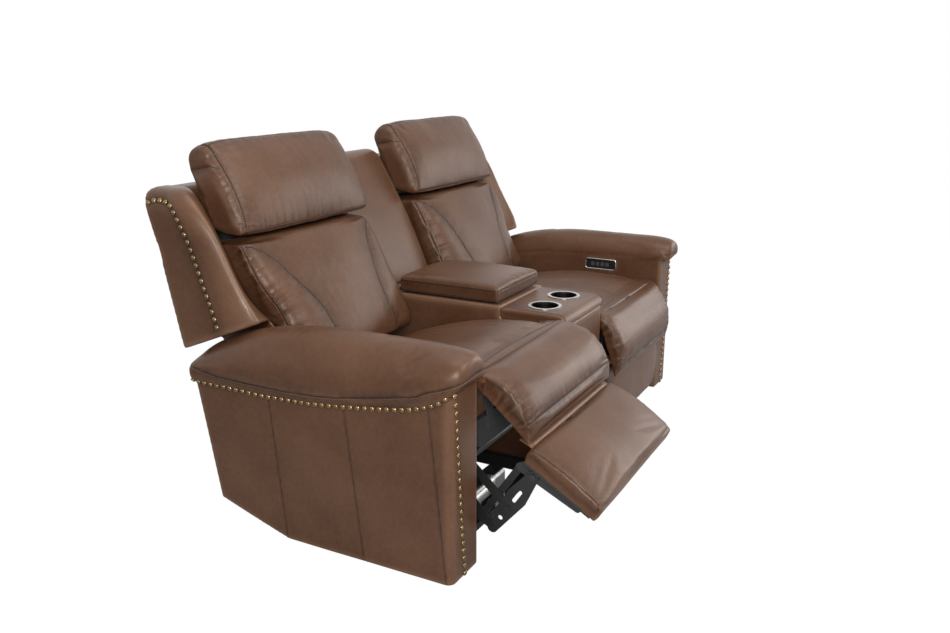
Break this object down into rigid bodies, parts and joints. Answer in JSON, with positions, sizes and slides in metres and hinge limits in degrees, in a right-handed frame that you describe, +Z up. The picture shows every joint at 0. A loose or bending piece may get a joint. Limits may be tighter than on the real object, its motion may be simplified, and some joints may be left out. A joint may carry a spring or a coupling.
{
  "type": "reclining loveseat",
  "caption": "Leather reclining loveseat with a centre console: two power seats with footrests, reclining winged backs, tilting headrests, lidded storage and cup holders.",
  "frame": {"origin": "on the floor under the middle of the console", "axes": "+X to the sitter's left, along the width; -Y to the front; +Z up"},
  "size_m": [1.9238, 1.4087, 1.1241],
  "materials": {
    "leather": "burnished, satin",
    "board": "raw plywood",
    "black_steel": "satin black",
    "motor": "silver grey",
    "cup_steel": "brushed",
    "hinge_steel": "plain",
    "spring_steel": "oiled",
    "trim_metal": "metallic satin",
    "button": "satin"
  },
  "bodies": {
    "base": {"arm_pad_l": "leather", "arm_pad_r": "leather", "arm_panel_l": "leather", "arm_panel_r": "leather", "base_rails_l": "black_steel", "base_rails_r": "black_steel", "console_back": "leather", "console_box": "leather", "console_deck": "leather", "cup_holders": "cup_steel", "drive_motor_l": "motor", "drive_motor_r": "motor", "drive_rail_l": "black_steel", "drive_rail_r": "black_steel", "lid_hinge": "hinge_steel", "switch_plate_l": "trim_metal", "switch_plate_r": "trim_metal"},
    "lid": {"lid_board": "board", "lid_pad": "leather"},
    "carriage_l": {"carriage_l": "black_steel"},
    "seat_l": {"seat_frame_l": "board", "seat_springs_l": "spring_steel", "seat_cushion_l": "leather"},
    "flap_l": {"front_pad_l": "leather"},
    "rear_crank_l": {"rear_crank_l": "black_steel"},
    "front_crank_l": {"front_crank_l": "black_steel"},
    "coupler_l": {"coupler_l": "black_steel"},
    "control_link_l": {"control_link_l": "black_steel"},
    "footrest_l": {"rest_board_l": "board", "rest_pad_l": "leather"},
    "back_l": {"back_frame_l": "board", "back_cushion_l": "leather", "back_shell_l": "leather"},
    "head_l": {"head_board_l": "board", "headrest_l": "leather"},
    "button_1_l": {"button_1_l": "button"},
    "button_2_l": {"button_2_l": "button"},
    "button_3_l": {"button_3_l": "button"},
    "button_4_l": {"button_4_l": "button"},
    "carriage_r": {"carriage_r": "black_steel"},
    "seat_r": {"seat_frame_r": "board", "seat_springs_r": "spring_steel", "seat_cushion_r": "leather"},
    "flap_r": {"front_pad_r": "leather"},
    "rear_crank_r": {"rear_crank_r": "black_steel"},
    "front_crank_r": {"front_crank_r": "black_steel"},
    "coupler_r": {"coupler_r": "black_steel"},
    "control_link_r": {"control_link_r": "black_steel"},
    "footrest_r": {"rest_board_r": "board", "rest_pad_r": "leather"},
    "back_r": {"back_frame_r": "board", "back_cushion_r": "leather", "back_shell_r": "leather"},
    "head_r": {"head_board_r": "board", "headrest_r": "leather"},
    "button_1_r": {"button_1_r": "button"},
    "button_2_r": {"button_2_r": "button"},
    "button_3_r": {"button_3_r": "button"},
    "button_4_r": {"button_4_r": "button"}
  },
  "joints": [
    {"name": "drive_slide_l", "type": "slide", "parent": "base", "child": "carriage_l", "axis": [0, -1, 0], "range_m": [-0.04216, 0.02584]},
    {"name": "seat_tilt_l", "type": "hinge", "parent": "carriage_l", "child": "seat_l", "pos_m": [-0.485, 0.05784, 0.3], "axis": [-1, 0, 0], "range_deg": [-9.04, 5.56]},
    {"name": "rear_crank_turn_l", "type": "hinge", "parent": "carriage_l", "child": "rear_crank_l", "pos_m": [-0.485, -0.29016, 0.242], "axis": [-1, 0, 0], "range_deg": [-60.07, 36.83]},
    {"name": "front_crank_turn_l", "type": "hinge", "parent": "carriage_l", "child": "front_crank_l", "pos_m": [-0.485, -0.33489, 0.30832], "axis": [-1, 0, 0], "range_deg": [-60.07, 36.83]},
    {"name": "coupler_turn_l", "type": "hinge", "parent": "rear_crank_l", "child": "coupler_l", "pos_m": [-0.485, -0.43028, 0.11368], "axis": [1, 0, 0], "range_deg": [-60.07, 36.83]},
    {"name": "control_turn_l", "type": "hinge", "parent": "rear_crank_l", "child": "control_link_l", "pos_m": [-0.485, -0.39, 0.13375], "axis": [1, 0, 0], "range_deg": [-60.07, 36.83]},
    {"name": "footrest_turn_l", "type": "hinge", "parent": "coupler_l", "child": "footrest_l", "pos_m": [-0.485, -0.54715, 0.28695], "axis": [-1, 0, 0], "range_deg": [-60.07, 36.83]},
    {"name": "flap_turn_l", "type": "hinge", "parent": "seat_l", "child": "flap_l", "pos_m": [-0.485, -0.37551, 0.53662], "axis": [-1, 0, 0], "range_deg": [-20.2, 12.4]},
    {"name": "recline_l", "type": "hinge", "parent": "carriage_l", "child": "back_l", "pos_m": [-0.485, 0.34284, 0.33], "axis": [-1, 0, 0], "range_deg": [0, 38]},
    {"name": "head_tilt_l", "type": "hinge", "parent": "back_l", "child": "head_l", "pos_m": [-0.485, 0.36084, 0.868], "axis": [1, 0, 0], "range_deg": [0, 35]},
    {"name": "press_1_l", "type": "slide", "parent": "base", "child": "button_1_l", "axis": [-1, 0, 0], "range_m": [0, 0.001], "stiffness_N_per_m": 900, "springref_m": -0.001},
    {"name": "press_2_l", "type": "slide", "parent": "base", "child": "button_2_l", "axis": [-1, 0, 0], "range_m": [0, 0.001], "stiffness_N_per_m": 900, "springref_m": -0.001},
    {"name": "press_3_l", "type": "slide", "parent": "base", "child": "button_3_l", "axis": [-1, 0, 0], "range_m": [0, 0.001], "stiffness_N_per_m": 900, "springref_m": -0.001},
    {"name": "press_4_l", "type": "slide", "parent": "base", "child": "button_4_l", "axis": [-1, 0, 0], "range_m": [0, 0.001], "stiffness_N_per_m": 900, "springref_m": -0.001},
    {"name": "drive_slide_r", "type": "slide", "parent": "base", "child": "carriage_r", "axis": [0, -1, 0], "range_m": [0, 0.068]},
    {"name": "seat_tilt_r", "type": "hinge", "parent": "carriage_r", "child": "seat_r", "pos_m": [0.485, 0.1, 0.3], "axis": [-1, 0, 0], "range_deg": [-0.05, 14.55]},
    {"name": "rear_crank_turn_r", "type": "hinge", "parent": "carriage_r", "child": "rear_crank_r", "pos_m": [0.485, -0.248, 0.242], "axis": [-1, 0, 0], "range_deg": [-0.05, 96.85]},
    {"name": "front_crank_turn_r", "type": "hinge", "parent": "carriage_r", "child": "front_crank_r", "pos_m": [0.485, -0.29274, 0.30832], "axis": [-1, 0, 0], "range_deg": [-0.05, 96.85]},
    {"name": "coupler_turn_r", "type": "hinge", "parent": "rear_crank_r", "child": "coupler_r", "pos_m": [0.485, -0.20688, 0.0565], "axis": [1, 0, 0], "range_deg": [-0.05, 96.85]},
    {"name": "control_turn_r", "type": "hinge", "parent": "rear_crank_r", "child": "control_link_r", "pos_m": [0.485, -0.20413, 0.10142], "axis": [1, 0, 0], "range_deg": [-0.05, 96.85]},
    {"name": "footrest_turn_r", "type": "hinge", "parent": "coupler_r", "child": "footrest_r", "pos_m": [0.485, -0.32375, 0.22977], "axis": [-1, 0, 0], "range_deg": [-0.05, 96.85]},
    {"name": "flap_turn_r", "type": "hinge", "parent": "seat_r", "child": "flap_r", "pos_m": [0.485, -0.365, 0.466], "axis": [-1, 0, 0], "range_deg": [-0.05, 32.55]},
    {"name": "recline_r", "type": "hinge", "parent": "carriage_r", "child": "back_r", "pos_m": [0.485, 0.385, 0.33], "axis": [-1, 0, 0], "range_deg": [0, 38]},
    {"name": "head_tilt_r", "type": "hinge", "parent": "back_r", "child": "head_r", "pos_m": [0.485, 0.403, 0.868], "axis": [1, 0, 0], "range_deg": [0, 35]},
    {"name": "press_1_r", "type": "slide", "parent": "base", "child": "button_1_r", "axis": [1, 0, 0], "range_m": [0, 0.001], "stiffness_N_per_m": 900, "springref_m": -0.001},
    {"name": "press_2_r", "type": "slide", "parent": "base", "child": "button_2_r", "axis": [1, 0, 0], "range_m": [0, 0.001], "stiffness_N_per_m": 900, "springref_m": -0.001},
    {"name": "press_3_r", "type": "slide", "parent": "base", "child": "button_3_r", "axis": [1, 0, 0], "range_m": [0, 0.001], "stiffness_N_per_m": 900, "springref_m": -0.001},
    {"name": "press_4_r", "type": "slide", "parent": "base", "child": "button_4_r", "axis": [1, 0, 0], "range_m": [0, 0.001], "stiffness_N_per_m": 900, "springref_m": -0.001},
    {"name": "lid_open", "type": "hinge", "parent": "base", "child": "lid", "pos_m": [0, 0.257, 0.5695], "axis": [-1, 0, 0], "range_deg": [0, 95]}
  ],
  "couplings": [
    {"joint": "seat_tilt_l", "follows": "drive_slide_l", "rad_per_m": 3.7217},
    {"joint": "rear_crank_turn_l", "follows": "drive_slide_l", "rad_per_m": 24.845},
    {"joint": "front_crank_turn_l", "follows": "drive_slide_l", "rad_per_m": 24.845},
    {"joint": "coupler_turn_l", "follows": "drive_slide_l", "rad_per_m": 24.845},
    {"joint": "control_turn_l", "follows": "drive_slide_l", "rad_per_m": 24.845},
    {"joint": "footrest_turn_l", "follows": "drive_slide_l", "rad_per_m": 24.845},
    {"joint": "flap_turn_l", "follows": "drive_slide_l", "rad_per_m": 8.3416},
    {"joint": "seat_tilt_r", "follows": "drive_slide_r", "rad_per_m": 3.7217},
    {"joint": "rear_crank_turn_r", "follows": "drive_slide_r", "rad_per_m": 24.845},
    {"joint": "front_crank_turn_r", "follows": "drive_slide_r", "rad_per_m": 24.845},
    {"joint": "coupler_turn_r", "follows": "drive_slide_r", "rad_per_m": 24.845},
    {"joint": "control_turn_r", "follows": "drive_slide_r", "rad_per_m": 24.845},
    {"joint": "footrest_turn_r", "follows": "drive_slide_r", "rad_per_m": 24.845},
    {"joint": "flap_turn_r", "follows": "drive_slide_r", "rad_per_m": 8.3416}
  ]
}
